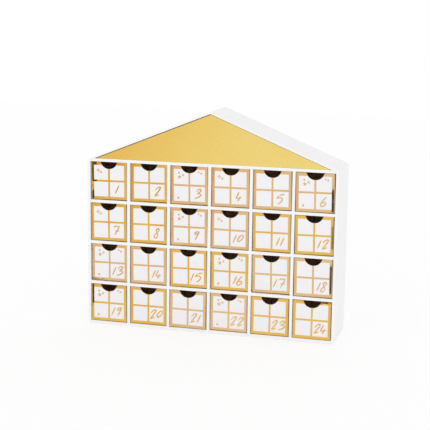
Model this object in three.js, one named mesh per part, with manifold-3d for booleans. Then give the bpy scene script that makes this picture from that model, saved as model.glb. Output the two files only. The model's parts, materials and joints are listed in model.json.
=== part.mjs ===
// An advent calendar in the shape of a house: a white board case that holds 24 card drawers.
// Millimetres. +X is to the right, +Y goes from the front to the back and +Z is up. The origin is
// the middle of the case's footprint, on the surface that it stands on.

import * as THREE from "three";
import { mergeVertices } from "three/addons/utils/BufferGeometryUtils.js";
import Module from "manifold-3d";

const wasm = await Module();
wasm.setup();

// The grid of cells
const columns = 6;
const rows = 4;
const cellWidth = 51;
const cellHeight = 50.9;
const leaf = 4; // thickness of the shelves, the dividers and the ceiling

// The case round the grid
const caseDepth = 76;
const wall = 4;
const floor = 4.4;
const roof = 2.8;
const backPanel = 2.5;
const roofPitch = 22.1; // degrees
const roofSpring = 1.7; // from the ceiling's underside up to the roof's inner corner at the eaves
const footRadius = 4.5; // rounding of the bottom corners of the outline
const eaveRadius = 3;
const ridgeRadius = 1.5;

// The foil panel in the gable
const gableThickness = 2;
const gableInset = 0.8;
const gableGap = 0.7;
const gableTip = 0.5; // height of the panel's ends, where its sharp tips are cut off

// The drawers
const card = 1;
const foldRadius = 1;
const sideClearance = 0.45;
const restClearance = 0.3;
const headClearance = 0.7;
const backClearance = 1;
const leastGap = 0.15; // what stays free round a drawer that sits askew
const insetMost = 3; // the deepest that a drawer's front lies behind the case's front
const notchWidth = 23;
const notchDepth = 9;
const flapToNotch = 1.4;
const flapTaper = 3;
const flapDrop = 1.5; // how far a glue flap ends below the rim

// How each drawer was left in its cell, by rows from the top: as shares of the play that it has,
// the turn (clockwise from the front) and the shift to the right, and as shares of insetMost the
// depth of its front.
const turns = [
  [-0.9, -0.85, -1, -0.6, -0.9, -1],
  [-1, -1, -1, 0.1, -0.85, -1],
  [-0.4, -0.85, -1, -0.25, -1, -0.9],
  [-0.15, -0.15, 0.6, 0.25, 0.1, 0.1],
];
const shifts = [
  [1, 1, 1, -0.5, -0.5, -1],
  [-1, 0.3, 1, -0.3, 0.5, -0.6],
  [0.8, 0.6, 0.6, 0.8, -0.3, 1],
  [-0.5, -0.5, -0.8, -1, -0.7, 0.2],
];
const insets = [
  [0.6, 1, 0.65, 0.65, 0.2, 0],
  [0.25, 0.55, 0.75, 0.55, 0.55, 0.25],
  [0.85, 0.45, 0.35, 0.85, 1, 0.3],
  [0.2, 0.55, 0, 0.65, 0.2, 0],
];

// Which drawers are printed in yellow gold, by rows; the others are printed in rose gold.
const yellowFoil = [
  [1, 2],
  [7, 8, 11, 12],
  [15, 16],
  [19, 20, 23, 24],
];

// Colours
const boardWhite = 0xf0f0ef;
const gableGold = 0xe5c46b;
const yellowGold = 0xdaae4c;
const roseGold = 0xdfb888;

// Sizes that follow from those above
const columnPitch = cellWidth + leaf;
const rowPitch = cellHeight + leaf;
const innerWidth = columns * cellWidth + (columns - 1) * leaf;
const caseWidth = innerWidth + 2 * wall;
const front = -caseDepth / 2;
const back = caseDepth / 2;
const gridBack = back - backPanel;
const ceilingUnder = floor + rows * cellHeight + (rows - 1) * leaf;
const ceilingTop = ceilingUnder + leaf;
const pitch = THREE.MathUtils.degToRad(roofPitch);
const innerEave = ceilingUnder + roofSpring;
const roofDrop = roof / Math.cos(pitch); // the roof board's thickness, measured straight down
const outerEave = innerEave + roofDrop - wall * Math.tan(pitch);
const innerRidge = innerEave + (innerWidth / 2) * Math.tan(pitch);
const outerRidge = innerRidge + roofDrop;
const drawerWidth = cellWidth - 2 * sideClearance;
const drawerHeight = cellHeight - restClearance - headClearance;
const drawerDepth = gridBack - front - insetMost - backClearance;

// Boards that touch share their corners, so each corner is set on a fine grid of 1/1024 mm,
// which 32-bit numbers hold exactly.
const gridSteps = 1024;
const snap = (length) => Math.round(length * gridSteps) / gridSteps;
const point = (x, y) => new THREE.Vector2(snap(x), snap(y));

// A flat board: an outline in the plane square to one axis, extruded along it between two places.
// The outline is drawn in x, z for a board square to Y, in x, y for Z, and in y, z for X.
const boardAxes = {
  x: [
    [0, 1, 0],
    [0, 0, 1],
    [1, 0, 0],
  ],
  y: [
    [1, 0, 0],
    [0, 0, 1],
    [0, -1, 0],
  ],
  z: [
    [1, 0, 0],
    [0, 1, 0],
    [0, 0, 1],
  ],
};

function board(outline, axis, from, to) {
  const geometry = new THREE.ExtrudeGeometry(new THREE.Shape(outline), {
    depth: to - from,
    bevelEnabled: false,
  });
  const [u, v, w] = boardAxes[axis].map((a) => new THREE.Vector3(...a));
  const start = w.clone().multiplyScalar(axis === "y" ? -to : from);
  geometry.applyMatrix4(new THREE.Matrix4().makeBasis(u, v, w).setPosition(start));
  const places = geometry.getAttribute("position");
  places.array.forEach((length, i) => {
    places.array[i] = snap(length);
  });
  return geometry;
}

function rectangle(left, bottom, right, top) {
  return [point(left, bottom), point(right, bottom), point(right, top), point(left, top)];
}

// The round corner of an outline, from the side that comes in to the side that goes out.
function roundCorner(before, corner, after, radius, steps) {
  const toBefore = before.clone().sub(corner).normalize();
  const toAfter = after.clone().sub(corner).normalize();
  const half = Math.acos(toBefore.dot(toAfter)) / 2;
  const middle = toBefore.clone().add(toAfter).normalize();
  const centre = corner.clone().addScaledVector(middle, radius / Math.sin(half));
  const start = corner.clone().addScaledVector(toBefore, radius / Math.tan(half)).sub(centre);
  const end = corner.clone().addScaledVector(toAfter, radius / Math.tan(half)).sub(centre);
  const sweep = Math.PI - 2 * half;
  const turn = Math.sign(start.cross(end));
  return Array.from({ length: steps + 1 }, (_, i) => {
    const angle = start.angle() + (turn * sweep * i) / steps;
    return point(centre.x + radius * Math.cos(angle), centre.y + radius * Math.sin(angle));
  });
}

// Manifold solids from three.js geometry, and back
function solidFrom(geometry) {
  const bare = geometry.clone();
  bare.deleteAttribute("normal");
  bare.deleteAttribute("uv");
  const merged = mergeVertices(bare, 1e-4);
  return new wasm.Manifold(
    new wasm.Mesh({
      numProp: 3,
      vertProperties: merged.getAttribute("position").array,
      triVerts: new Uint32Array(merged.index.array),
    }),
  );
}

function geometryFrom(solid) {
  const mesh = solid.getMesh();
  const geometry = new THREE.BufferGeometry();
  geometry.setAttribute("position", new THREE.BufferAttribute(mesh.vertProperties, 3));
  geometry.setIndex(new THREE.BufferAttribute(mesh.triVerts, 1));
  const flat = geometry.toNonIndexed();
  flat.computeVertexNormals();
  return flat;
}

function piece(name, geometry, look) {
  const mesh = new THREE.Mesh(geometry, new THREE.MeshStandardMaterial(look));
  mesh.name = name;
  return mesh;
}

const paintedBoard = { color: boardWhite, roughness: 0.6, metalness: 0 };
const mirrorFoil = { color: gableGold, roughness: 0.3, metalness: 1 };

// The shell: five boards, mitred where they meet and rounded on the outside of each corner. Where
// the ceiling's ends fit under the roof, the roof boards have that corner in their outline too.
const outerCorners = [
  point(-caseWidth / 2, 0),
  point(caseWidth / 2, 0),
  point(caseWidth / 2, outerEave),
  point(0, outerRidge),
  point(-caseWidth / 2, outerEave),
];
const innerCorners = [
  point(-innerWidth / 2, floor),
  point(innerWidth / 2, floor),
  point(innerWidth / 2, innerEave),
  point(0, innerRidge),
  point(-innerWidth / 2, innerEave),
];
const ceilingReach = innerWidth / 2 - (ceilingTop - innerEave) / Math.tan(pitch);
const ceilingRight = point(ceilingReach, ceilingTop);
const ceilingLeft = point(-ceilingReach, ceilingTop);
const cornerRadii = [footRadius, footRadius, eaveRadius, ridgeRadius, eaveRadius];
const cornerSteps = 8;

const outsideArcs = outerCorners.map((corner, i) => {
  const before = outerCorners.at(i - 1);
  const after = outerCorners[(i + 1) % outerCorners.length];
  return roundCorner(before, corner, after, cornerRadii[i], cornerSteps);
});

const shellSides = [
  { name: "floor_board", seatOfCeiling: [] },
  { name: "right_wall", seatOfCeiling: [] },
  { name: "right_roof_board", seatOfCeiling: [ceilingRight] },
  { name: "left_roof_board", seatOfCeiling: [ceilingLeft] },
  { name: "left_wall", seatOfCeiling: [] },
];

function shellBoard({ name, seatOfCeiling }, i) {
  const next = (i + 1) % outerCorners.length;
  const outline = [
    ...outsideArcs[i].slice(cornerSteps / 2),
    ...outsideArcs[next].slice(0, cornerSteps / 2 + 1),
    innerCorners[next],
    ...seatOfCeiling,
    innerCorners[i],
  ];
  return piece(name, board(outline, "y", front, back), paintedBoard);
}

// The back panel fills the shell between its boards, flush with their back edges.
function backBoard() {
  const [footLeft, footRight, eaveRight, ridge, eaveLeft] = innerCorners;
  const outline = [footLeft, footRight, eaveRight, ceilingRight, ridge, ceilingLeft, eaveLeft];
  return piece("back_panel", board(outline, "y", gridBack, back), paintedBoard);
}

// The ceiling over the drawers, with its ends bevelled to the slope of the roof
function ceiling() {
  const outline = [
    point(-innerWidth / 2, ceilingUnder),
    point(innerWidth / 2, ceilingUnder),
    innerCorners[2],
    ceilingRight,
    ceilingLeft,
    innerCorners[4],
  ];
  return piece("ceiling_shelf", board(outline, "y", front, gridBack), paintedBoard);
}

// The grid of shelves and dividers interlocks by half-laps: each shelf is slotted from the back to
// the middle at every divider, and each divider from the front to the middle at every shelf.
const lap = (front + gridBack) / 2;
const dividerPlaces = Array.from(
  { length: columns - 1 },
  (_, i) => -innerWidth / 2 + (i + 1) * cellWidth + (i + 0.5) * leaf,
);
const shelfUndersides = Array.from(
  { length: rows - 1 },
  (_, i) => floor + (i + 1) * cellHeight + i * leaf,
);

function shelf(underside, i) {
  const slots = dividerPlaces.toReversed().flatMap((x) => [
    point(x + leaf / 2, gridBack),
    point(x + leaf / 2, lap),
    point(x - leaf / 2, lap),
    point(x - leaf / 2, gridBack),
  ]);
  const outline = [
    point(-innerWidth / 2, front),
    point(innerWidth / 2, front),
    point(innerWidth / 2, gridBack),
    ...slots,
    point(-innerWidth / 2, gridBack),
  ];
  const geometry = board(outline, "z", underside, underside + leaf);
  return piece(`shelf_${i + 1}`, geometry, paintedBoard);
}

function divider(x, i) {
  const slots = shelfUndersides.toReversed().flatMap((z) => [
    point(front, z + leaf),
    point(lap, z + leaf),
    point(lap, z),
    point(front, z),
  ]);
  const outline = [
    point(front, floor),
    point(gridBack, floor),
    point(gridBack, ceilingUnder),
    point(front, ceilingUnder),
    ...slots,
  ];
  const geometry = board(outline, "x", x - leaf / 2, x + leaf / 2);
  return piece(`divider_${i + 1}`, geometry, paintedBoard);
}

// The gable panel stands on the ceiling, a hair's breadth from the roof boards.
function gablePanel() {
  const reach = ceilingReach - gableGap / Math.sin(pitch) - gableTip / Math.tan(pitch);
  const outline = [
    point(-reach, ceilingTop),
    point(reach, ceilingTop),
    point(reach, ceilingTop + gableTip),
    point(0, innerRidge - gableGap / Math.cos(pitch)),
    point(-reach, ceilingTop + gableTip),
  ];
  const panelFront = front + gableInset;
  const geometry = board(outline, "y", panelFront, panelFront + gableThickness);
  return piece("gable_panel", geometry, mirrorFoil);
}

// A drawer is a tray folded from one sheet of card. Its origin is the middle of the front's bottom
// edge. The folds along the bottom are round, the sides have glue flaps lapped inside the front and
// the back, and the front has a thumb notch in its rim.
function foldedBlock() {
  const roundFoot = (left, right) => {
    const [a, b, c, d] = rectangle(left, 0, right, drawerHeight);
    const steps = 4;
    return [
      ...roundCorner(d, a, b, foldRadius, steps),
      ...roundCorner(a, b, c, foldRadius, steps),
      c,
      d,
    ];
  };
  const half = drawerWidth / 2;
  const acrossWidth = board(roundFoot(-half, half), "y", 0, drawerDepth);
  const alongDepth = board(roundFoot(0, drawerDepth), "x", -half, half);
  return solidFrom(acrossWidth).intersect(solidFrom(alongDepth));
}

function cavity() {
  const overRim = 1;
  const half = drawerWidth / 2 - card;
  const plan = rectangle(-half, card, half, drawerDepth - card);
  return solidFrom(board(plan, "z", card, drawerHeight + overRim));
}

function thumbNotch() {
  const halfChord = notchWidth / 2;
  const radius = (halfChord ** 2 + notchDepth ** 2) / (2 * notchDepth);
  const arcSteps = 40;
  const round = new THREE.CylinderGeometry(radius, radius, 4 * card, arcSteps);
  round.translate(0, 0, drawerHeight - notchDepth + radius);
  return solidFrom(round);
}

// One glue flap, on the side at side = -1 or 1, from the wall that it is folded from
function glueFlap(side, from) {
  const root = drawerWidth / 2 - card / 2;
  const tip = notchWidth / 2 + flapToNotch;
  const outline = [
    point(side * root, card / 2),
    point(side * root, drawerHeight - flapDrop),
    point(side * tip, drawerHeight - flapDrop - flapTaper),
    point(side * tip, card / 2 + flapTaper),
  ];
  return solidFrom(board(outline, "y", from, from + 1.5 * card));
}

function drawerGeometry() {
  let tray = foldedBlock().subtract(cavity());
  for (const side of [-1, 1]) {
    tray = tray.add(glueFlap(side, card / 2));
    tray = tray.add(glueFlap(side, drawerDepth - 2 * card));
  }
  return geometryFrom(tray.subtract(thumbNotch()));
}

// The play of a drawer in its cell sets how far it can turn and shift.
const sidePlay = Math.max(sideClearance - leastGap, 0);
const headPlay = Math.max(headClearance - leastGap, 0);
const turnMost = Math.asin(Math.min((2 * sidePlay) / drawerHeight, headPlay / drawerWidth));

function drawer(number, geometry) {
  const row = Math.floor((number - 1) / columns);
  const column = (number - 1) % columns;
  const turn = turns[row][column] * turnMost;
  const swing = (drawerHeight / 2) * Math.sin(Math.abs(turn));
  const rise = (drawerWidth / 2) * Math.sin(Math.abs(turn));
  const isYellow = yellowFoil[row].includes(number);
  const look = { color: isYellow ? yellowGold : roseGold, roughness: 0.35, metalness: 1 };
  const tray = piece(`drawer_${String(number).padStart(2, "0")}`, geometry, look);
  tray.position.z = -drawerHeight / 2;

  // Turned about its middle, and set in its cell
  const turned = new THREE.Group();
  turned.rotation.y = turn;
  turned.position.set(
    shifts[row][column] * Math.max(sidePlay - swing, 0),
    insets[row][column] * insetMost,
    restClearance + drawerHeight / 2 + rise,
  );
  turned.add(tray);
  const cell = new THREE.Group();
  cell.position.set(
    -innerWidth / 2 + cellWidth / 2 + column * columnPitch,
    front,
    floor + (rows - 1 - row) * rowPitch,
  );
  cell.add(turned);
  return cell;
}

const calendar = new THREE.Group();
calendar.add(...shellSides.map(shellBoard));
calendar.add(backBoard(), ceiling(), gablePanel());
calendar.add(...shelfUndersides.map(shelf));
calendar.add(...dividerPlaces.map(divider));
const trayGeometry = drawerGeometry();
for (let number = 1; number <= columns * rows; number += 1) {
  calendar.add(drawer(number, trayGeometry));
}

export default calendar;
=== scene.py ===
# %% [markdown]
# # An advent calendar in the shape of a house
#
# The real object is a white case of board with a gold foil gable and 24 small drawers of card.
# Each drawer front is printed in metal foil like a window: a frame with two glazing bars, a number
# and, on some, a few stars. This lesson takes the model of the case and the drawers as a fixed
# frame, gives every piece its finish, and adds what is printed on the fronts.

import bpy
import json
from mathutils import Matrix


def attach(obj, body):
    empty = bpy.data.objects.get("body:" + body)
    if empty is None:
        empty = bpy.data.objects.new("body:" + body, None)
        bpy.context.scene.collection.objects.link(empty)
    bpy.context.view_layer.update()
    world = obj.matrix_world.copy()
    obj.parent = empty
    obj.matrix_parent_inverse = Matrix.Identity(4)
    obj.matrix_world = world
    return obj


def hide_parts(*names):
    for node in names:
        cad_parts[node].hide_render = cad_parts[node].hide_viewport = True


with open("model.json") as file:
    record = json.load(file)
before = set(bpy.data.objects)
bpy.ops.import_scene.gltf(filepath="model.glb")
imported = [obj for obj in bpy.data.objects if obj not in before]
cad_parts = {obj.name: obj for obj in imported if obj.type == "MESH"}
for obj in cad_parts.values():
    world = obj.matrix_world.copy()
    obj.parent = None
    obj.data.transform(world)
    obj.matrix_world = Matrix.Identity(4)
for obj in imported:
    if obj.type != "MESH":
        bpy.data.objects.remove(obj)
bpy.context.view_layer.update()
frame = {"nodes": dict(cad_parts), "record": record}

# %% Other modules and units
import json
import math

import bmesh
import bpy
from mathutils import Matrix, Quaternion, Vector
from mathutils.bvhtree import BVHTree

MM = 0.001
scene = bpy.context.scene
body_of = {n: body for body, nodes in frame["record"]["behaviour"]["bodies"].items() for n in nodes}
drawers = sorted(n for n in frame["nodes"] if n.startswith("drawer_"))
boards = sorted(n for n in frame["nodes"] if n not in drawers and n != "gable_panel")
print("Drawers:", len(drawers), "and boards of the case:", len(boards))

# %% [markdown]
# ## Shader maths as Python expressions
#
# A finish is a graph of nodes, and graphs are hard to read as code. So one small class stands for
# the graph and makes any node, and another wraps an output socket: an expression such as
# `1 - mask` on it adds the Math node that it needs.

# %% Graphs
class Graph:
    """The nodes of one material or world."""

    def __init__(self, owner):
        owner.use_nodes = True
        self.tree = owner.node_tree
        self.tree.nodes.clear()

    def node(self, kind, settings=None, inputs=None, output=0):
        """Makes a node: first its settings, then the values or links of its inputs."""
        made = self.tree.nodes.new(kind)
        for name, value in (settings or {}).items():
            setattr(made, name, value)
        for name, value in (inputs or {}).items():
            if isinstance(value, Signal):
                self.tree.links.new(value.socket, made.inputs[name])
            else:
                made.inputs[name].default_value = value
        return Signal(self, made.outputs[output]) if made.outputs else made

    def mix(self, share, first, second):
        """A colour between two colours."""
        return self.node(
            "ShaderNodeMix", {"data_type": "RGBA"}, {0: share, 6: first, 7: second}, output=2
        )

    def noise(self, size, detail=2.0, where=None):
        """Noise from 0 to 1 whose features are about that size in metres."""
        place = where or self.node("ShaderNodeTexCoord", output="Object")
        settings = {"Vector": place, "Scale": 1 / size, "Detail": detail}
        return self.node("ShaderNodeTexNoise", inputs=settings, output="Fac")

    def bump(self, height, depth, below=None):
        """A normal that follows a height, whose unit is that depth in metres, on one below."""
        inputs = {"Height": height, "Distance": depth}
        if below:
            inputs["Normal"] = below
        return self.node("ShaderNodeBump", inputs=inputs)


# %% Signals
class Signal:
    """An output socket, on which arithmetic adds Math nodes."""

    def __init__(self, graph, socket):
        self.graph = graph
        self.socket = socket

    def math(self, operation, *values):
        """A Math node on these values."""
        inputs = dict(enumerate(values))
        return self.graph.node("ShaderNodeMath", {"operation": operation}, inputs)

    def __add__(self, other):
        return self.math("ADD", self, other)

    def __sub__(self, other):
        return self.math("SUBTRACT", self, other)

    def __rsub__(self, other):
        return self.math("SUBTRACT", other, self)

    def __mul__(self, other):
        return self.math("MULTIPLY", self, other)

    __radd__ = __add__
    __rmul__ = __mul__


# %% Colours as the eye names them
def colour(red, green, blue):
    """A colour from its screen values, 0 to 255, in the linear values that shaders take."""
    shares = [value / 255 for value in (red, green, blue)]
    linear = [s / 12.92 if s <= 0.04045 else ((s + 0.055) / 1.055) ** 2.4 for s in shares]
    return (*linear, 1.0)


print("Half grey as a shader value:", round(colour(128, 128, 128)[0], 3))

# %% [markdown]
# ## The camera
#
# The picture was taken from a little above and from the right, with a long lens, so the upright
# edges stay almost parallel. The camera looks at a point on the middle plane of the case and is
# rolled by less than a degree.

# %% Camera
CAMERA_PLACE = Vector((397.9, -1467.3, 431.3)) * MM
CAMERA_AIM = Vector((-2.55, 0, 151.15)) * MM
CAMERA_ROLL = math.radians(0.74)
LENS_LENGTH = 98.1
SENSOR_WIDTH = 36

camera = bpy.data.objects.new("camera", bpy.data.cameras.new("camera"))
scene.collection.objects.link(camera)
camera.data.lens = LENS_LENGTH
camera.data.sensor_width = SENSOR_WIDTH
camera.location = CAMERA_PLACE
camera.rotation_mode = "QUATERNION"
toward = (CAMERA_AIM - CAMERA_PLACE).to_track_quat("-Z", "Y")
camera.rotation_quaternion = toward @ Quaternion((0, 0, 1), CAMERA_ROLL)
scene.camera = camera
scene.view_settings.view_transform = "Standard"
print("The camera is", round((CAMERA_AIM - CAMERA_PLACE).length, 2), "m away")

# %% [markdown]
# ## The studio
#
# Product pictures like this one are lit from all sides, so that white things show hardly any
# shade. An even white world does that. The foil is another matter: it mirrors the room, and an even
# room would make it look like paint. So glossy rays see a room that drifts between white and a
# warm tone, while the plain light only grows a little towards the front and fades upwards. A small
# warm place deepens the gold of the gable towards its left end, and two small dark ones are seen
# only by the bent parts of the foil. They stay small, because from any other side the foil mirrors
# another part of the room, and there it has to look golden too. A weak lamp in line with the camera
# reaches in through the thumb notches. The camera sees the floor mostly as plain white, so that it
# melts into the background and keeps only a faint shadow.

# %% Light and room
LIGHT_LEVEL = 1.0
LIGHT_LEAN = Vector((0, -0.12, -0.05))
WHITE = (1.0, 1.0, 1.0, 1.0)
WARM = (0.84, 0.53, 0.09, 1.0)
BROWN = (0.02, 0.012, 0.006, 1.0)
DRIFT_SIZE = 0.25
DRIFT_SHARE = 1.2
ROOM_LEVEL = 1.08


def heading(azimuth, elevation):
    """The direction at that azimuth, from the front to the right, and height above the horizon."""
    a = math.radians(azimuth)
    e = math.radians(elevation)
    return Vector((math.sin(a) * math.cos(e), -math.cos(a) * math.cos(e), math.sin(e)))


# Places that the foil mirrors: heading, full and outer half width in degrees, and colour
PLACES = [
    (heading(-26, 0), 8, 12, WARM),
    (heading(-38, -12), 6, 9, BROWN),
    (heading(8, -12), 6, 9, BROWN),
]
print("Darker places in the room:", len(PLACES))

# %% The world
world = bpy.data.worlds.new("studio")
scene.world = world
studio = Graph(world)
direction = studio.node("ShaderNodeTexCoord", output="Generated")
drift = studio.noise(DRIFT_SIZE, where=direction)
room = studio.mix((drift - 0.5) * DRIFT_SHARE, WHITE, WARM)
for middle, inner, outer, tint in PLACES:
    nearness = studio.node(
        "ShaderNodeVectorMath",
        {"operation": "DOT_PRODUCT"},
        {0: direction, 1: middle},
        output="Value",
    )
    shade = studio.node(
        "ShaderNodeMapRange",
        {"interpolation_type": "SMOOTHSTEP"},
        {
            "Value": nearness,
            "From Min": math.cos(math.radians(outer)),
            "From Max": math.cos(math.radians(inner)),
        },
    )
    room = studio.mix(shade, room, tint)
ray = studio.node("ShaderNodeLightPath", output="Is Glossy Ray")
seen = studio.node("ShaderNodeLightPath", output="Is Camera Ray")
lean = studio.node(
    "ShaderNodeVectorMath",
    {"operation": "DOT_PRODUCT"},
    {0: direction, 1: LIGHT_LEAN},
    output="Value",
)
even_light = studio.node(
    "ShaderNodeBackground", inputs={"Color": WHITE, "Strength": LIGHT_LEVEL + lean}
)
mirrored = studio.node("ShaderNodeBackground", inputs={"Color": room, "Strength": ROOM_LEVEL})
white = studio.node("ShaderNodeBackground", inputs={"Color": WHITE})
lit = studio.node("ShaderNodeMixShader", inputs={0: ray, 1: even_light, 2: mirrored})
shown = studio.node("ShaderNodeMixShader", inputs={0: seen, 1: lit, 2: white})
studio.node("ShaderNodeOutputWorld", inputs={"Surface": shown})
print("Nodes of the world:", len(studio.tree.nodes))

# %% Fill lamp
FILL_LEVEL = 0.09
FILL_SPREAD = math.radians(25)

fill = bpy.data.objects.new("fill", bpy.data.lights.new("fill", "SUN"))
scene.collection.objects.link(fill)
fill.data.energy = FILL_LEVEL
fill.data.angle = FILL_SPREAD
fill.rotation_mode = "QUATERNION"
fill.rotation_quaternion = toward
print("The fill lamp adds", round(FILL_LEVEL / math.pi, 3), "to the light on what faces it")

# %% Floor
FLOOR_SIZE = 6.0
FLOOR_DROP = 0.1 * MM
SHADOW_SHARE = 0.35

bpy.ops.mesh.primitive_plane_add(size=FLOOR_SIZE, location=(0, 0, -FLOOR_DROP))
floor = bpy.context.active_object
floor.name = "floor"
floor.visible_glossy = False
floor_look = bpy.data.materials.new("floor_paper")
graph = Graph(floor_look)
lit_paper = graph.node("ShaderNodeBsdfDiffuse", inputs={"Color": WHITE})
plain_white = graph.node("ShaderNodeEmission", inputs={"Color": WHITE, "Strength": 1.0})
seen = graph.node("ShaderNodeLightPath", output="Is Camera Ray")
paper = graph.node(
    "ShaderNodeMixShader", inputs={0: seen * (1 - SHADOW_SHARE), 1: lit_paper, 2: plain_white}
)
graph.node("ShaderNodeOutputMaterial", inputs={"Surface": paper})
floor.data.materials.append(floor_look)
print("Floor", FLOOR_SIZE, "m wide")

# %% [markdown]
# ## The finishes
#
# Seven finishes cover the whole calendar. The case is wrapped in smooth white paper, and the gable
# panel and the prints are metal foil. The drawers are folded from plain brown card, printed white
# on the front and dark brown on the other outsides. A metal tints what it mirrors, so the colour
# of a foil is its base colour.

# %% Finish helper
def finish(name, graph, base, roughness, normal, metallic=0.0):
    """Ends a material: its surface is one principled shader."""
    inputs = {"Base Color": base, "Roughness": roughness, "Metallic": metallic, "Normal": normal}
    surface = graph.node("ShaderNodeBsdfPrincipled", inputs=inputs)
    graph.node("ShaderNodeOutputMaterial", inputs={"Surface": surface})
    print("Finish:", name)


# %% White wrapping paper
PAPER_LIGHT = colour(244, 244, 244)
PAPER_DARK = colour(240, 240, 240)

wrapping_paper = bpy.data.materials.new("wrapping_paper")
graph = Graph(wrapping_paper)
cloud = graph.noise(60 * MM)
fibres = graph.noise(0.35 * MM, detail=4.0)
finish(
    "wrapping paper",
    graph,
    base=graph.mix(cloud, PAPER_DARK, PAPER_LIGHT),
    roughness=0.5 + fibres * 0.12,
    normal=graph.bump(fibres, 0.012 * MM),
)

# %% Gold foil of the gable
GABLE_GOLD = colour(236, 215, 134)
GABLE_DEEP = colour(232, 207, 121)
PEEL_SHARE = 2.5

gable_foil = bpy.data.materials.new("gable_foil")
graph = Graph(gable_foil)
drift = graph.noise(45 * MM)
peel = graph.noise(2.2 * MM, detail=3.0)
finish(
    "gable foil",
    graph,
    base=graph.mix(drift + (peel - 0.5) * PEEL_SHARE, GABLE_DEEP, GABLE_GOLD),
    roughness=0.15 + peel * 0.06,
    metallic=1.0,
    normal=graph.bump(peel, 0.02 * MM),
)


# %% Printed foils
WAVE_SIZE = 16 * MM
WAVE_DEPTH = 0.25 * MM
BEND_LAYER = "bend"


def printed_foil(name, light, deep):
    """Hot-stamped foil: smooth metal that lies as wavy and as bent as the card under it."""
    made = bpy.data.materials.new(name)
    graph = Graph(made)
    drift = graph.noise(30 * MM)
    grain = graph.noise(0.8 * MM, detail=3.0)
    bend = graph.node("ShaderNodeAttribute", {"attribute_name": BEND_LAYER}, output="Fac")
    bent = graph.bump(bend, 1.0)
    waved = graph.bump(graph.noise(WAVE_SIZE, detail=0.0), WAVE_DEPTH, below=bent)
    finish(
        name,
        graph,
        base=graph.mix(drift, deep, light),
        roughness=0.1 + grain * 0.08,
        metallic=1.0,
        normal=graph.bump(grain, 0.005 * MM, below=waved),
    )
    return made


yellow_foil = printed_foil("yellow_foil", colour(230, 190, 100), colour(214, 168, 70))
rose_foil = printed_foil("rose_foil", colour(226, 192, 140), colour(210, 170, 116))

# %% White print on the drawer fronts
PRINT_WHITE = colour(239, 238, 241)
PRINT_SHADE = colour(236, 236, 238)

white_print = bpy.data.materials.new("white_print")
graph = Graph(white_print)
cloud = graph.noise(25 * MM)
grain = graph.noise(0.3 * MM, detail=4.0)
finish(
    "white print",
    graph,
    base=graph.mix(cloud, PRINT_SHADE, PRINT_WHITE),
    roughness=0.42 + grain * 0.1,
    normal=graph.bump(grain, 0.006 * MM),
)


# %% Brown card
FIBRE_SQUEEZE = 0.15
FIBRE_SHARE = 0.7


def card(name, light, dark):
    """Card whose fibres run along the drawer, with a few soft blotches."""
    made = bpy.data.materials.new(name)
    graph = Graph(made)
    place = graph.node("ShaderNodeTexCoord", output="Object")
    drawn_out = graph.node(
        "ShaderNodeMapping", inputs={"Vector": place, "Scale": (1, FIBRE_SQUEEZE, 1)}
    )
    fibres = graph.noise(0.5 * MM, detail=5.0, where=drawn_out)
    blotches = graph.noise(9 * MM)
    finish(
        name,
        graph,
        base=graph.mix(fibres * FIBRE_SHARE + blotches * (1 - FIBRE_SHARE), dark, light),
        roughness=0.8 + fibres * 0.15,
        normal=graph.bump(fibres, 0.03 * MM),
    )
    return made


bare_card = card("bare_card", colour(232, 195, 156), colour(214, 173, 132))
brown_print = card("brown_print", colour(86, 52, 27), colour(70, 41, 20))

# %% [markdown]
# ## Boards with soft edges
#
# No edge of a wrapped board is sharp, and a soft edge is what catches the light. A bevel on every
# edge would also cut grooves where two boards meet, and the wrapping runs over those joints without
# a seam. So each edge is tried first: it is softened only where both of its faces are open to the
# air.

# %% Copies of the frame's surfaces
MERGE = 0.002 * MM
FLAT = math.radians(0.5)


def clean_copy(node):
    """The surface of a node as a bmesh: its corners merged, and each flat face made whole."""
    shape = bmesh.new()
    shape.from_mesh(frame["nodes"][node].data)
    bmesh.ops.remove_doubles(shape, verts=shape.verts, dist=MERGE)
    bmesh.ops.dissolve_limit(shape, angle_limit=FLAT, verts=shape.verts, edges=shape.edges)
    bmesh.ops.recalc_face_normals(shape, faces=shape.faces)
    return shape


def tree_of(node):
    """A search tree over the surface of a node."""
    mesh = frame["nodes"][node].data
    return BVHTree.FromPolygons([v.co for v in mesh.vertices], [p.vertices for p in mesh.polygons])


solids = {node: tree_of(node) for node in boards + ["gable_panel"]}
print("Solids to try edges against:", len(solids))

# %% Which edges are open
PROBE_IN = 0.3 * MM
PROBE_OUT = 0.1 * MM
PROBE_REACH = 3 * MM
PROBES = (0.05, 0.2, 0.35, 0.5, 0.65, 0.8, 0.95)


def inside_another(point, node):
    """Whether a point lies in the solid of any other node."""
    for other, tree in solids.items():
        if other == node:
            continue
        nearest, outward, _, distance = tree.find_nearest(point)
        if distance < PROBE_REACH and (point - nearest).dot(outward) < 0:
            return True
    return False


def is_open(edge, node):
    """Whether somewhere along an edge both of its faces are open to the air."""
    a, b = (v.co for v in edge.verts)
    for share in PROBES:
        on_edge = a.lerp(b, share)
        probes = [
            on_edge + edge.calc_tangent(loop) * PROBE_IN + loop.face.normal * PROBE_OUT
            for loop in edge.link_loops
        ]
        if not any(inside_another(probe, node) for probe in probes):
            return True
    return False


print("Places tried along each edge:", len(PROBES))

# %% Making pieces
SHARP = math.radians(30)
SMOOTH_UP_TO = math.radians(40)


def piece_from(shape, name, materials):
    """A mesh object from a bmesh, smooth but for its sharp edges."""
    mesh = bpy.data.meshes.new(name)
    shape.to_mesh(mesh)
    shape.free()
    mesh.shade_smooth()
    mesh.set_sharp_from_angle(angle=SMOOTH_UP_TO)
    for material in materials:
        mesh.materials.append(material)
    made = bpy.data.objects.new(name, mesh)
    scene.collection.objects.link(made)
    return made


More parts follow.
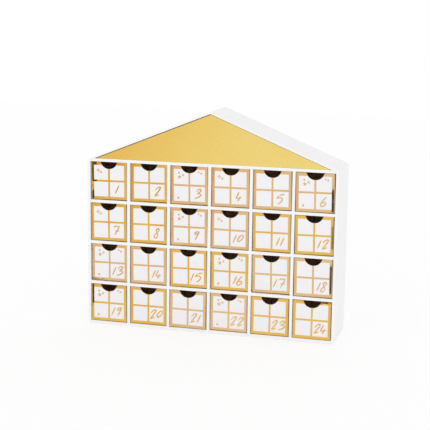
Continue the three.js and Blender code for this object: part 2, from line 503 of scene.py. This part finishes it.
def soften(made, width, segments, material=-1):
    """Rounds the edges that carry a bevel weight, each to its share of the width."""
    bevel = made.modifiers.new("soft_edges", "BEVEL")
    bevel.limit_method = "WEIGHT"
    bevel.width = width
    bevel.segments = segments
    bevel.material = material
    bevel.use_clamp_overlap = False
    bevel.harden_normals = True


print("Edges over", round(math.degrees(SHARP)), "degrees count as sharp")

# %% The case
SHELL_EDGE = 0.5 * MM
GRID_EDGE = 0.2 * MM
SHELL = ("floor_board", "left_wall", "right_wall", "left_roof_board", "right_roof_board")


def wrapped_board(node):
    """A board of the case, with its open edges softened."""
    shape = clean_copy(node)
    weight = shape.edges.layers.float.new("bevel_weight_edge")
    opened = [e for e in shape.edges if e.calc_face_angle(0) > SHARP and is_open(e, node)]
    for edge in opened:
        edge[weight] = 1.0
    made = piece_from(shape, "wrapped_" + node, [wrapping_paper])
    soften(made, SHELL_EDGE if node in SHELL else GRID_EDGE, segments=3)
    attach(made, body_of[node])
    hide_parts(node)
    print(node, "has", len(opened), "open edges")


for node in boards:
    wrapped_board(node)

# %% [markdown]
# ## The gable
#
# The gable is one panel of card under gold foil, set almost flush between the roof boards. It is
# punched out after the foil is on, so its edges are brown card. Along the two slopes these brown
# edges are rounded widest, and that is painted shade: with the thin gap next to them they draw the
# dark shadow line under the roof boards. The panel sits a hair too high and too far to the right,
# so that line is finer along the right slope.

# %% The gable panel
GABLE_EDGE = 0.5 * MM
# Widths of the brown edges, as shares of GABLE_EDGE: the wide ones along the slopes are painted shade, the
# shadow line under the roof boards
GABLE_FOOT_SHARE = 0.2
GABLE_LEFT_SHARE = 0.7
GABLE_RIGHT_SHARE = 0.4
GABLE_SHIFT = 0.4 * MM
GABLE_LIFT = 0.3 * MM
SLANTED = 0.1
FACING_FRONT = 0.95

shape = clean_copy("gable_panel")
weight = shape.edges.layers.float.new("bevel_weight_edge")
for edge in shape.edges:
    if edge.calc_face_angle(0) > SHARP:
        along = (edge.verts[0].co - edge.verts[1].co).normalized()
        is_slope = min(abs(along.x), abs(along.z)) > SLANTED
        at_right = edge.verts[0].co.x + edge.verts[1].co.x > 0
        # The slopes get the widest brown edges, as painted shade of the gap under the roof boards
        slope_share = GABLE_RIGHT_SHARE if at_right else GABLE_LEFT_SHARE
        edge[weight] = slope_share if is_slope else GABLE_FOOT_SHARE
foot = min(vert.co.z for vert in shape.verts)
for vert in shape.verts:
    vert.co.x += GABLE_SHIFT
    if vert.co.z > foot + MERGE:
        vert.co.z += GABLE_LIFT
for face in shape.faces:
    face.material_index = 0 if face.normal.y < -FACING_FRONT else 1
gable = piece_from(shape, "foiled_gable", [gable_foil, brown_print])
soften(gable, GABLE_EDGE, segments=2, material=1)
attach(gable, body_of["gable_panel"])
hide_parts("gable_panel")
print("The gable is", round(gable.dimensions.x / MM, 1), "mm wide")

# %% [markdown]
# ## The drawers
#
# A drawer is folded from one sheet of card, with a white front and dark brown outsides. Card
# can't be folded sharply, so the upright corners of the front are as round as the card is thick.
# The foil of the frame runs round them, and then the brown print of the sides begins. The sides are
# brown, and the foil covers the whole left fold but leaves most of the right one brown; that brown
# strip is painted shade, which draws the fine dark line of the shadowed gap along the right edge.
#
# Each drawer was pushed in by hand and sits a little askew, so everything that is printed on a
# front is laid out in that front's own axes, which are measured on the frame.

# %% The axes of a front
FOLD = 1.0 * MM
# What being further to the front counts for, beside being higher and further out
FRONTMOST = 0.2


class Front:
    """A drawer front: its size, and the matrix from its own axes to the frame's."""

    def __init__(self, node):
        places = [v.co.copy() for v in frame["nodes"][node].data.vertices]
        left = max(places, key=lambda p: p.z - p.x - FRONTMOST * p.y)
        right = max(places, key=lambda p: p.z + p.x - FRONTMOST * p.y)
        across = (right - left).normalized()
        up = Vector((-across.z, 0, across.x))
        lowest = min(p.dot(up) for p in places)
        self.width = (right - left).length
        self.height = left.dot(up) - lowest
        middle = (left + right) / 2 - up * self.height / 2
        middle.y = min(p.y for p in places)
        turned = Matrix((across, Vector((0, 1, 0)), up)).transposed()
        self.matrix = Matrix.Translation(middle) @ turned.to_4x4()


fronts = {node: Front(node) for node in drawers}
first = fronts[drawers[0]]
print("A front is", round(first.width / MM, 2), "by", round(first.height / MM, 2), "mm")

# %% The trays
CUT_EDGE = 0.18 * MM
FRONT_SKIN = 0.3 * MM


def tray(node):
    """The folded card of a drawer: white in front, brown outside and bare inside."""
    front = fronts[node]
    shape = clean_copy(node)
    weight = shape.edges.layers.float.new("bevel_weight_edge")
    to_front = front.matrix.inverted()
    deepest = max((to_front @ v.co).y for v in shape.verts) - FRONT_SKIN
    for edge in shape.edges:
        if edge.calc_face_angle(0) <= SHARP:
            continue
        a, b = (to_front @ v.co for v in edge.verts)
        upright = abs(a.z - b.z) > 0.5 * front.height
        outermost = min(abs(a.x), abs(b.x)) > front.width / 2 - FRONT_SKIN
        edge[weight] = 1.0 if upright and outermost else CUT_EDGE / FOLD
    for face in shape.faces:
        middle = to_front @ face.calc_center_median()
        if face.normal.y < -FACING_FRONT and middle.y < FRONT_SKIN:
            face.material_index = 1
        elif max(abs(middle.x), -middle.z) > front.height / 2 - FRONT_SKIN or middle.y > deepest:
            face.material_index = 2
    made = piece_from(
        shape, node.replace("drawer", "tray"), [bare_card, white_print, brown_print]
    )
    soften(made, FOLD, segments=4, material=2)
    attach(made, body_of[node])
    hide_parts(node)


for node in drawers:
    tray(node)
print("Trays:", len(drawers))

# %% [markdown]
# ## The foil window frames
#
# Foil is a few hundredths of a millimetre thick, but it has a real edge. So the frame is a thin
# closed skin that stands just proud of the card and reaches just into it. It is made as a grid of
# cells, of which only those under foil are kept. Two grid lines bend to the arc of the thumb notch,
# and the outer lines go round the folds.

# %% Sizes of the print
FOIL_PROUD = 0.06 * MM
FOIL_SUNK = 0.05 * MM
BORDER = 4.05 * MM
BAR = 2.4 * MM
NOTCH_WIDTH = 23 * MM
NOTCH_DEPTH = 9 * MM
NOTCH_RADIUS = ((NOTCH_WIDTH / 2) ** 2 + NOTCH_DEPTH**2) / (2 * NOTCH_DEPTH)
# How far the foil goes round the left, the right and the lower fold; the right roll is kept short,
# so the brown fold beside it is painted shade of the gap along the right edge
LEFT_ROLL = math.radians(90)
RIGHT_ROLL = math.radians(25)
LOWER_ROLL = math.radians(60)
RIM_STEPS = 4
print("The notch is an arc of", round(NOTCH_RADIUS / MM, 2), "mm radius")


# %% A point on the skin of a front
def on_skin(front, across, up, lift):
    """The place of a point of the print, from its lengths along the card, which go round the folds."""
    flat_x = front.width / 2 - FOLD
    flat_z = front.height / 2 - FOLD
    turn_x = max(abs(across) - flat_x, 0) / FOLD
    turn_z = max(-up - flat_z, 0) / FOLD
    side = math.copysign(1, across)
    outward = Vector(
        (
            side * math.sin(turn_x) * math.cos(turn_z),
            -math.cos(turn_x) * math.cos(turn_z),
            -math.sin(turn_z),
        )
    )
    core = Vector((side * min(abs(across), flat_x), FOLD, max(up, -flat_z)))
    return core + outward * (FOLD + lift)


# %% A skin of cells
def skin(shape, cells, place, bend):
    """Adds a closed skin over cells of a grid, from the place and the bend of each corner."""
    layer = shape.verts.layers.float.new(BEND_LAYER)
    corners = {}
    for corner in {corner for cell in cells for corner in cell}:
        corners[corner] = [shape.verts.new(place(*corner, lift)) for lift in (FOIL_PROUD, -FOIL_SUNK)]
        for vertex in corners[corner]:
            vertex[layer] = bend(*corner)
    rims = set()
    for cell in cells:
        shape.faces.new([corners[corner][0] for corner in cell])
        shape.faces.new([corners[corner][1] for corner in reversed(cell)])
        for a, b in zip(cell, cell[1:] + cell[:1]):
            if (b, a) in rims:
                rims.remove((b, a))
            else:
                rims.add((a, b))
    for a, b in rims:
        shape.faces.new([corners[b][0], corners[a][0], corners[a][1], corners[b][1]])


# %% Lines of a grid
CELL = 2.2 * MM


def filled(lines):
    """The lines and, between those that lie far apart, evenly spaced ones."""
    close = []
    for start, end in zip(lines, lines[1:]):
        count = max(1, round((end - start) / CELL))
        close += [start + (end - start) * step / count for step in range(count)]
    return [*close, lines[-1]]


print("Lines from 0 to 10 mm:", len(filled([0, 10 * MM])))

# %% [markdown]
# Some borders are bent a little where the card was creased, and there they mirror the dark places
# of the room instead of its white walls. A bend of a few degrees is too slight to see in the shape,
# so it is kept as a height on the grid, from which the foil's finish takes its normals.

# %% Bent borders
# On which drawer, to which side, between which distances from the middle of the front and which
# heights, in millimetres, and by how many degrees
BENDS = {
    1: [(-1, 17, 30, -6, 30, 8), (-1, 20.5, 30, -30, -10, 8)],
    6: [(1, 20, 30, -30, 8, 7)],
    12: [(1, 20.5, 22.5, -20, 16, 6)],
    13: [(-1, 10, 30, -30, -20, 8)],
    18: [(1, 22.5, 30, -22, 20, 10)],
    19: [(-1, 20.5, 30, -4, 30, 8)],
    24: [(1, 8, 22, 19, 30, 8)],
}
BEND_FADE = 4 * MM


def bend_height(drawer_number, x, z):
    """How far a bent border would fall back at a point of the front."""
    height = 0.0
    for side, near, far, low, high, angle in BENDS.get(drawer_number, []):
        beyond = min(max(x * side, near * MM), far * MM) - near * MM
        inside = min(z - low * MM, high * MM - z) / BEND_FADE
        height -= math.tan(math.radians(angle)) * beyond * min(max(inside, 0), 1)
    return height


print("Drawers with bent borders:", *BENDS)

# %% Lines round the folds and the notch
FOLD_STEP = math.radians(15)


def round_fold(half, roll):
    """Lengths along the card to lines that go round a fold, from the middle of a front that wide."""
    steps = math.ceil(roll / FOLD_STEP)
    return [half - FOLD + FOLD * roll * step / steps for step in range(1, steps + 1)]


def notch_reach(front, up):
    """Half the width of the thumb notch at a height."""
    middle = front.height / 2 - NOTCH_DEPTH + NOTCH_RADIUS
    return math.sqrt(max(NOTCH_RADIUS**2 - (middle - up) ** 2, 0))


def notch_floor(front, across):
    """The height of the notch's edge at a place across the front."""
    middle = front.height / 2 - NOTCH_DEPTH + NOTCH_RADIUS
    return middle - math.sqrt(NOTCH_RADIUS**2 - across**2)


print("Steps round the left fold:", len(round_fold(first.width / 2, LEFT_ROLL)))


# %% The window frames
def window_frame(node, foil):
    """The foil frame of a drawer front, with its two glazing bars."""
    front = fronts[node]
    half_x, half_z, half_bar = front.width / 2, front.height / 2, BAR / 2
    pane_x, pane_z = half_x - BORDER, half_z - BORDER
    arc = notch_reach(front, pane_z)
    right = filled([half_bar, arc, pane_x, half_x - FOLD])
    columns = [-x for x in round_fold(half_x, LEFT_ROLL)[::-1]]
    columns += [-x for x in reversed(right)] + [0.0] + right + round_fold(half_x, RIGHT_ROLL)
    rim = [pane_z + BORDER * step / RIM_STEPS for step in range(1, RIM_STEPS + 1)]
    rows = [-z for z in round_fold(half_z, LOWER_ROLL)[::-1]]
    rows += filled([FOLD - half_z, -pane_z, -half_bar, half_bar, pane_z]) + rim

    def place(x, z, lift):
        """Where a corner of the grid lies, with the grid drawn aside by the notch."""
        if z > pane_z and arc <= abs(x) <= pane_x:
            share = (pane_x - abs(x)) / (pane_x - arc)
            x = math.copysign(pane_x + (notch_reach(front, z) - pane_x) * share, x)
        if z > half_bar and abs(x) <= half_bar:
            z = half_bar + (z - half_bar) * (notch_floor(front, x) - half_bar) / (pane_z - half_bar)
        return front.matrix @ on_skin(front, x, z, lift)

    def is_foil(x, z):
        """Whether a cell with its middle there lies under foil."""
        if z > pane_z:
            return abs(x) > arc
        return abs(x) > pane_x or z < -pane_z or min(abs(x), abs(z)) < half_bar

    cells = [
        [(a, c), (b, c), (b, d), (a, d)]
        for a, b in zip(columns, columns[1:])
        for c, d in zip(rows, rows[1:])
        if is_foil((a + b) / 2, (c + d) / 2)
    ]
    shape = bmesh.new()
    skin(shape, cells, place, lambda x, z: bend_height(int(node[-2:]), x, z))
    made = piece_from(shape, node.replace("drawer", "window"), [foil])
    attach(made, body_of[node])


# %% [markdown]
# ## Numbers and stars
#
# The numbers are plain figures in a slanted pen hand. Each stroke is a chain of points that a smooth
# curve runs through, in a box one unit high that leans over afterwards. The pen presses in the
# middle of a stroke and lifts at its ends. The curve climbs by a hair as it goes, so that where it
# crosses itself the later part lies on top. The foil of a stroke is tilted a little across the
# stroke, so that strokes of other directions mirror other parts of the room.

# %% Pen strokes of the figures
FIGURES = {
    "0": [[(0.36, 0.97), (0.14, 0.8), (0.05, 0.46), (0.2, 0.24), (0.42, 0.44), (0.48, 0.8), (0.33, 0.97)]],
    "1": [[(0.16, 0.98), (0.15, 0.5), (0.13, 0.02)]],
    "2": [
        [(0.0, 0.6), (0.12, 0.88), (0.34, 1.0), (0.44, 0.84), (0.34, 0.46), (0.15, 0.03)],
        [(0.16, 0.04), (0.36, 0.1), (0.58, 0.24)],
    ],
    "3": [
        [(0.02, 0.7), (0.16, 0.97), (0.42, 0.98), (0.44, 0.76), (0.18, 0.53)],
        [(0.2, 0.53), (0.52, 0.53), (0.66, 0.38), (0.46, 0.16), (0.12, 0.04)],
    ],
    "4": [
        [(0.04, 1.0), (0.02, 0.64), (0.0, 0.28)],
        [(0.0, 0.29), (0.26, 0.34), (0.56, 0.42)],
        [(0.35, 0.55), (0.34, 0.28), (0.32, 0.0)],
    ],
    "5": [
        [(0.12, 0.9), (0.02, 0.58), (0.3, 0.66), (0.6, 0.5), (0.56, 0.18), (0.3, 0.0)],
        [(0.12, 0.89), (0.36, 0.94), (0.62, 1.0)],
    ],
    "6": [
        [(0.3, 1.0), (0.12, 0.68), (0.02, 0.32), (0.12, 0.04), (0.36, 0.04), (0.5, 0.26), (0.42, 0.45)],
        [(0.43, 0.45), (0.28, 0.44), (0.16, 0.3)],
    ],
    "7": [
        [(0.02, 0.8), (0.05, 0.94), (0.34, 0.95), (0.58, 0.98)],
        [(0.57, 0.97), (0.5, 0.5), (0.44, 0.0)],
        [(0.26, 0.45), (0.48, 0.47), (0.74, 0.48)],
    ],
    "8": [
        [(0.28, 0.62), (0.34, 0.86), (0.18, 1.0), (0.04, 0.85), (0.16, 0.66), (0.34, 0.42), (0.46, 0.2)],
        [(0.46, 0.21), (0.34, 0.02), (0.12, 0.06), (0.08, 0.26), (0.18, 0.48), (0.29, 0.63)],
    ],
    "9": [
        [(0.44, 0.9), (0.24, 0.94), (0.06, 0.78), (0.14, 0.64), (0.32, 0.72), (0.44, 0.9)],
        [(0.47, 1.0), (0.42, 0.5), (0.36, 0.0)],
    ],
}
FIGURE_HEIGHT = 12.8 * MM
FIGURE_GAP = 0.14
LEAST_WIDTH = 0.3
SLANT = 0.42
NUMBER_MIDDLE = (11.0 * MM, -10.9 * MM)
PEN_HALF = 0.84 * MM
PEN_LIFTED = 0.75
PEN_TILT = math.tan(math.radians(2.5))
STROKE_CLIMB = 0.02 * MM
print("Figures:", " ".join(sorted(FIGURES)))


# %% A smooth path
def smooth_path(points, steps=8):
    """Points on a Catmull-Rom curve through the given points."""
    points = [Vector(p) for p in points]
    chain = [2 * points[0] - points[1], *points, 2 * points[-1] - points[-2]]
    path = []
    for before, start, end, after in zip(chain, chain[1:], chain[2:], chain[3:]):
        for step in range(steps):
            t = step / steps
            pull = (end - before) * t + (2 * before - 5 * start + 4 * end - after) * t**2
            path.append(start + (pull + (3 * start - before - 3 * end + after) * t**3) / 2)
    return [*path, points[-1]]


print("A stroke through 3 points has", len(smooth_path([(0, 0), (1, 0), (1, 1)])), "sections")

# %% A pen stroke
ROUND_END = (0.0, 0.45, 0.75, 1.0)
PEN_POINT = 0.12
PRESS_POWER = 0.6


def pen_stroke(shape, path, order, matrix):
    """Adds one stroke of foil along a path: a closed ribbon with round ends."""
    layer = shape.verts.layers.float[BEND_LAYER]
    last = len(path) - 1
    sections = []
    for i, point in enumerate(path):
        along = (path[min(i + 1, last)] - path[max(i - 1, 0)]).normalized()
        aside = Vector((-along.y, along.x))
        press = math.sin(math.pi * i / last) ** PRESS_POWER
        end = ROUND_END[min(i, last - i, len(ROUND_END) - 1)]
        half = PEN_HALF * (PEN_LIFTED + (1 - PEN_LIFTED) * press) * max(end, PEN_POINT)
        lift = FOIL_PROUD + STROKE_CLIMB * (order + i / last)
        section = []
        for side in (-half, half):
            place = point + aside * side
            for height in (lift, -FOIL_SUNK):
                corner = shape.verts.new(matrix @ Vector((place.x, -height, place.y)))
                corner[layer] = side * PEN_TILT
                section.append(corner)
        sections.append(section)
    for (a, b, c, d), (e, f, g, h) in zip(sections, sections[1:]):
        shape.faces.new((a, e, g, c))
        shape.faces.new((d, h, f, b))
        shape.faces.new((c, g, h, d))
        shape.faces.new((b, f, e, a))
    for a, b, c, d in (sections[0], sections[-1]):
        shape.faces.new((a, b, d, c))


# %% The numbers
def number(node, foil):
    """The number of a drawer, in the middle of its lower right pane."""
    strokes = []
    pen = 0.0
    for figure in str(int(node[-2:])):
        reach = max(LEAST_WIDTH, *(x for stroke in FIGURES[figure] for x, _ in stroke))
        strokes += [[(pen + x, z) for x, z in stroke] for stroke in FIGURES[figure]]
        pen += reach + FIGURE_GAP
    leaned = [[(x + SLANT * z, z) for x, z in stroke] for stroke in strokes]
    extent = [x for stroke in leaned for x, _ in stroke]
    shift = (max(extent) + min(extent)) / 2
    shape = bmesh.new()
    shape.verts.layers.float.new(BEND_LAYER)
    for order, stroke in enumerate(leaned):
        placed = [
            (
                NUMBER_MIDDLE[0] + (x - shift) * FIGURE_HEIGHT,
                NUMBER_MIDDLE[1] + (z - 0.5) * FIGURE_HEIGHT,
            )
            for x, z in stroke
        ]
        pen_stroke(shape, smooth_path(placed), order, fronts[node].matrix)
    bmesh.ops.recalc_face_normals(shape, faces=shape.faces)
    made = piece_from(shape, node.replace("drawer", "number"), [foil])
    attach(made, body_of[node])


# %% Stars
# Where each star stands on its front and how tall it is, in millimetres
STAR_CLUSTER = [
    (-13.3, 10.5, 6.0),
    (-14.0, 16.0, 4.0),
    (-8.5, 13.0, 4.2),
    (12.8, 17.8, 3.4),
    (16.0, 16.0, 3.9),
    (-15.0, -16.8, 4.6),
]
SPARKLE = (-15.0, 13.8, 6.8)
SPARKLE_STAR = (-11.0, 11.3, 3.9)
STAR_WAIST = 0.45
SPARKLE_WAIST = 0.34
SPARKLE_HOLLOW = 0.42
CLUSTER_DRAWERS = (3, 6, 9, 13, 16, 19, 22)
SPARKLE_DRAWERS = (1, 4, 7, 10)


def star_outline(x, z, height, points, waist):
    """The corners of a star: tips and waists by turns, from the top."""
    radius = height / 2 * MM
    return [
        Vector(
            (
                x * MM + radius * (waist if i % 2 else 1) * math.sin(math.pi * i / points),
                z * MM + radius * (waist if i % 2 else 1) * math.cos(math.pi * i / points),
            )
        )
        for i in range(2 * points)
    ]


print("Stars of a cluster:", len(STAR_CLUSTER))


# %% Foil plates
def plate(shape, outer, inner, matrix):
    """Adds a foil plate between two outlines, of which the inner may be a single point."""
    count = len(outer)
    for i in range(count):
        j = (i + 1) % count
        ring = [outer[i], outer[j], inner[j], inner[i]]
        if inner[i] == inner[j]:
            ring.pop()
        top = [shape.verts.new(matrix @ Vector((p.x, -FOIL_PROUD, p.y))) for p in ring]
        low = [shape.verts.new(matrix @ Vector((p.x, FOIL_SUNK, p.y))) for p in ring]
        shape.faces.new(top)
        shape.faces.new(low[::-1])
        shape.faces.new((top[1], top[0], low[0], low[1]))
        if inner[i] != inner[j]:
            shape.faces.new((top[3], top[2], low[2], low[3]))


# %% The stars of a front
def stars(node, foil):
    """The stars of a drawer front, if it has any."""
    drawer_number = int(node[-2:])
    shape = bmesh.new()
    solid_stars = []
    if drawer_number in CLUSTER_DRAWERS:
        solid_stars = STAR_CLUSTER
    if drawer_number in SPARKLE_DRAWERS:
        solid_stars = [SPARKLE_STAR]
        outer = star_outline(*SPARKLE, points=4, waist=SPARKLE_WAIST)
        middle = Vector(SPARKLE[:2]) * MM
        inner = [middle.lerp(p, SPARKLE_HOLLOW) for p in outer]
        plate(shape, outer, inner, fronts[node].matrix)
    for x, z, height in solid_stars:
        outer = star_outline(x, z, height, points=5, waist=STAR_WAIST)
        plate(shape, outer, [Vector((x, z)) * MM] * len(outer), fronts[node].matrix)
    if not solid_stars:
        shape.free()
        return
    bmesh.ops.remove_doubles(shape, verts=shape.verts, dist=MERGE)
    bmesh.ops.recalc_face_normals(shape, faces=shape.faces)
    made = piece_from(shape, node.replace("drawer", "stars"), [foil])
    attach(made, body_of[node])


# %% Print the fronts
YELLOW_DRAWERS = (1, 2, 7, 8, 11, 12, 15, 16, 19, 20, 23, 24)

for node in drawers:
    is_yellow = int(node[-2:]) in YELLOW_DRAWERS
    foil = yellow_foil if is_yellow else rose_foil
    window_frame(node, foil)
    number(node, foil)
    stars(node, foil)
print("Printed fronts:", len(drawers))
